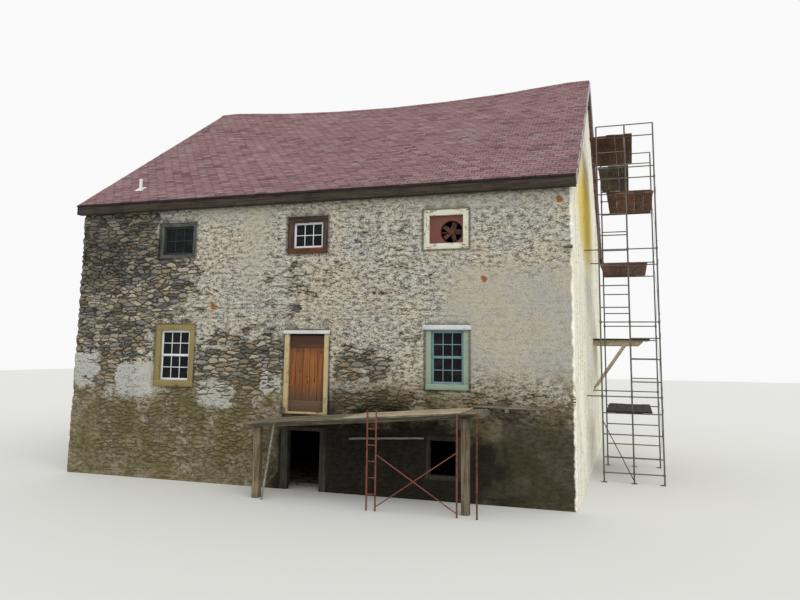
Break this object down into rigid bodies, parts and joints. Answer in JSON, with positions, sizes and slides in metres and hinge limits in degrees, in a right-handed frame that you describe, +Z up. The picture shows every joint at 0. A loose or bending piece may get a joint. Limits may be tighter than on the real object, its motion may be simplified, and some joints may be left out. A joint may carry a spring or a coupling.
{
  "type": "stone watermill building",
  "caption": "Tall rubble-stone mill house with a swaybacked shingle roof, sash windows, a plank door over an undercroft deck and a scaffold tower at its gable.",
  "frame": {"origin": "middle of the plan at ground level, on the underside of the undercroft floor", "axes": "+X to the right along the front wall, +Y from the front to the back, +Z up; the front faces -Y"},
  "size_m": [15.651, 15.7179, 12.411],
  "materials": {
    "bare_rubble": "bare rubble stone",
    "black_iron": "wrought",
    "brown_frame": "weathered",
    "cream_frame": "old paint",
    "cream_timber": "weathered",
    "dark_sash": "old paint",
    "dark_timber": "weathered",
    "deck_timber": "weathered",
    "fan_steel": "dark paint",
    "flagstone": "stone flags",
    "flashing": "white paint",
    "floor_timber": "bare",
    "glass": "old glass",
    "grey_frame": "weathered",
    "grey_timber": "weathered",
    "limewash": "limewashed rubble",
    "ochre_frame": "old paint",
    "orange_planks": "varnished planks",
    "painted_cream": "old paint",
    "pale_board": "old paint",
    "pale_green_frame": "old paint",
    "plywood": "weathered",
    "rake_paint": "weathered paint",
    "red_brown_panel": "painted",
    "red_steel": "old red paint",
    "rubble_render": "worn lime render over rubble",
    "rusty_steel": "rusty",
    "sash_blue_grey": "painted",
    "sash_white": "painted",
    "scaffold_plank": "weathered",
    "scaffold_steel": "galvanised",
    "shingles": "asphalt shingles",
    "weathered_board": "weathered"
  },
  "bodies": {
    "building": {"back_wall": "rubble_render", "back_window_frames": "painted_cream", "back_window_sashes": "sash_white", "bracket_platform": "grey_timber", "cornices": "weathered_board", "deck_boards": "deck_timber", "deck_posts": "cream_timber", "deck_timbers": "deck_timber", "door_frame": "cream_frame", "door_head_board": "pale_board", "door_pintles": "black_iron", "fan_housing": "fan_steel", "fan_panel": "red_brown_panel", "fan_window_frame": "pale_green_frame", "front_wall_left": "rubble_render", "front_wall_over_door": "rubble_render", "front_wall_right": "rubble_render", "front_wall_under_door": "rubble_render", "front_wall_upper": "rubble_render", "ledge_board": "deck_timber", "left_gable_wall": "bare_rubble", "lower_left_window_frame": "ochre_frame", "lower_left_window_sashes": "sash_white", "lower_right_window_frame": "pale_green_frame", "lower_right_window_sashes": "sash_blue_grey", "main_floor": "floor_timber", "plywood_sheet": "plywood", "rake_boards": "rake_paint", "ridge_cap": "shingles", "right_gable_wall": "limewash", "roof_back_slope": "shingles", "roof_front_slope": "shingles", "rusty_pole": "rusty_steel", "scaffold_back_frame": "scaffold_steel", "scaffold_braces": "rusty_steel", "scaffold_front_frame": "scaffold_steel", "scaffold_planks": "scaffold_plank", "steel_props": "red_steel", "undercroft_floor": "flagstone", "undercroft_frames": "dark_timber", "upper_floor": "floor_timber", "upper_left_window_frame": "grey_frame", "upper_left_window_sash": "dark_sash", "upper_mid_window_frame": "brown_frame", "upper_mid_window_sash": "sash_white", "vent_pipe": "flashing", "window_glass": "glass", "wooden_poles": "grey_timber"},
    "door": {"door_leaf": "orange_planks", "door_hinge_straps": "black_iron"},
    "fan": {"fan_rotor": "fan_steel"}
  },
  "joints": [
    {"name": "door_hinge", "type": "hinge", "parent": "building", "child": "door", "pos_m": [-0.195, -6.8697, 2.8], "axis": [0, 0, 1], "range_deg": [0, 90]},
    {"name": "fan_spin", "type": "hinge", "parent": "building", "child": "fan", "pos_m": [3.97, -6.85, 6.212], "axis": [0, 1, 0], "continuous": true}
  ]
}
